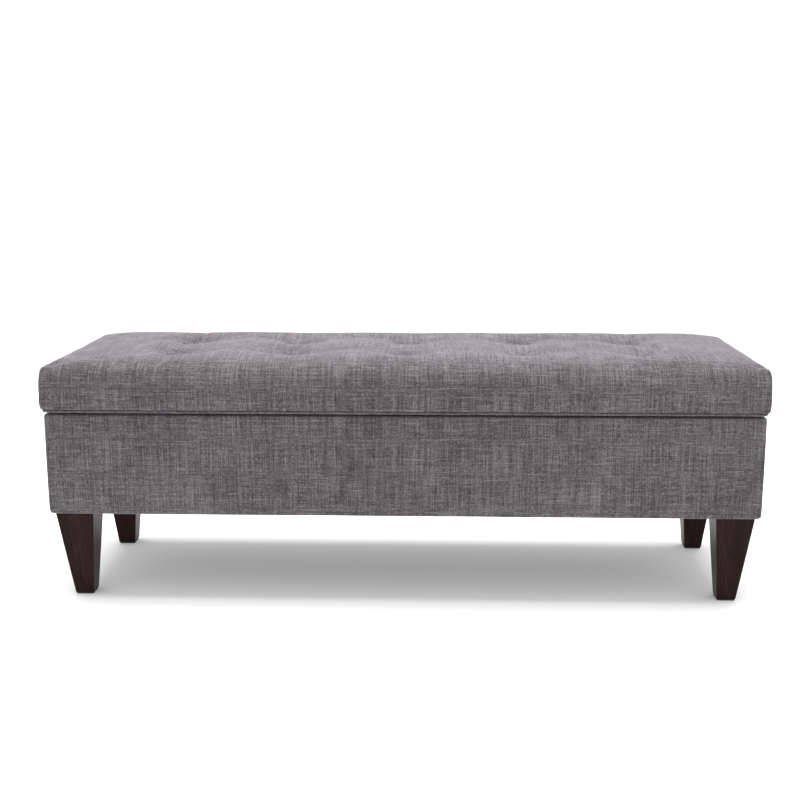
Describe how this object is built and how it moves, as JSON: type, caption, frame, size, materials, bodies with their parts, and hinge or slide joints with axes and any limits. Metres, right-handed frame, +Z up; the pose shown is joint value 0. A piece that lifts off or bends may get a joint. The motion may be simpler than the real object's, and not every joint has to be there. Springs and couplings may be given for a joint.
{
  "type": "storage bench",
  "caption": "Long upholstered storage bench with a hinged, button-tufted lid, piping, a lined compartment, soft-closing lid stays and tapered dark wood legs.",
  "frame": {"origin": "on the floor, under the middle of the bench", "axes": "+X along the bench to the viewer's right, +Y from the front to the hinged rear, +Z up"},
  "size_m": [1.524, 0.487, 0.531],
  "materials": {
    "grey_linen": "matte",
    "dark_wood": "satin",
    "panel_wood": "matte",
    "foam": "matte",
    "black_cloth": "matte",
    "black_plastic": "satin",
    "black_rubber": "matte",
    "zinc_steel": "satin"
  },
  "bodies": {
    "box": {"leg_front_left": "dark_wood", "glide_front_left": "black_plastic", "hanger_bolt_front_left": "zinc_steel", "leg_plate_front_left": "zinc_steel", "corner_block_front_left": "panel_wood", "leg_front_right": "dark_wood", "glide_front_right": "black_plastic", "hanger_bolt_front_right": "zinc_steel", "leg_plate_front_right": "zinc_steel", "corner_block_front_right": "panel_wood", "leg_rear_left": "dark_wood", "glide_rear_left": "black_plastic", "hanger_bolt_rear_left": "zinc_steel", "leg_plate_rear_left": "zinc_steel", "corner_block_rear_left": "panel_wood", "leg_rear_right": "dark_wood", "glide_rear_right": "black_plastic", "hanger_bolt_rear_right": "zinc_steel", "leg_plate_rear_right": "zinc_steel", "corner_block_rear_right": "panel_wood", "front_panel": "panel_wood", "rear_panel": "panel_wood", "left_side_panel": "panel_wood", "right_side_panel": "panel_wood", "bottom_panel": "panel_wood", "front_cleat": "panel_wood", "rear_cleat": "panel_wood", "body_cover": "grey_linen", "compartment_lining": "black_cloth", "dust_cover": "black_cloth", "hinge_body_leaf": "zinc_steel", "hinge_pin": "zinc_steel", "stay_base_plate_left": "zinc_steel", "stay_damper_left": "black_plastic", "lid_bumper_left": "black_rubber", "stay_base_plate_right": "zinc_steel", "stay_damper_right": "black_plastic", "lid_bumper_right": "black_rubber"},
    "lid": {"lid_board": "panel_wood", "lid_lining": "black_cloth", "lid_foam": "foam", "lid_cover": "grey_linen", "lid_piping": "grey_linen", "hinge_lid_leaf": "zinc_steel", "stay_lid_bracket_left": "zinc_steel", "stay_lid_bracket_right": "zinc_steel", "tuft_button_front_1": "grey_linen", "tuft_button_front_2": "grey_linen", "tuft_button_front_3": "grey_linen", "tuft_button_front_4": "grey_linen", "tuft_button_front_5": "grey_linen", "tuft_button_rear_1": "grey_linen", "tuft_button_rear_2": "grey_linen", "tuft_button_rear_3": "grey_linen", "tuft_button_rear_4": "grey_linen", "tuft_button_rear_5": "grey_linen"},
    "lower_arm_left": {"stay_lower_arm_left": "zinc_steel"},
    "upper_arm_left": {"stay_upper_arm_left": "zinc_steel"},
    "lower_arm_right": {"stay_lower_arm_right": "zinc_steel"},
    "upper_arm_right": {"stay_upper_arm_right": "zinc_steel"}
  },
  "joints": [
    {"name": "lid_hinge", "type": "hinge", "parent": "box", "child": "lid", "pos_m": [0, 0.2351, 0.4086], "axis": [-1, 0, 0], "range_deg": [0, 88]},
    {"name": "stay_base_pivot_left", "type": "hinge", "parent": "box", "child": "lower_arm_left", "pos_m": [-0.725, 0.165, 0.3], "axis": [-1, 0, 0], "range_deg": [0, 88]},
    {"name": "stay_elbow_pivot_left", "type": "hinge", "parent": "lower_arm_left", "child": "upper_arm_left", "pos_m": [-0.725, 0.0149, 0.2834], "axis": [-1, 0, 0], "range_deg": [-88, 0]},
    {"name": "stay_base_pivot_right", "type": "hinge", "parent": "box", "child": "lower_arm_right", "pos_m": [0.725, 0.165, 0.3], "axis": [-1, 0, 0], "range_deg": [0, 88]},
    {"name": "stay_elbow_pivot_right", "type": "hinge", "parent": "lower_arm_right", "child": "upper_arm_right", "pos_m": [0.725, 0.0149, 0.2834], "axis": [-1, 0, 0], "range_deg": [-88, 0]}
  ],
  "couplings": [
    {"joint": "stay_base_pivot_left", "follows": "lid_hinge", "ratio": 1},
    {"joint": "stay_elbow_pivot_left", "follows": "lid_hinge", "ratio": -1},
    {"joint": "stay_base_pivot_right", "follows": "lid_hinge", "ratio": 1},
    {"joint": "stay_elbow_pivot_right", "follows": "lid_hinge", "ratio": -1}
  ]
}
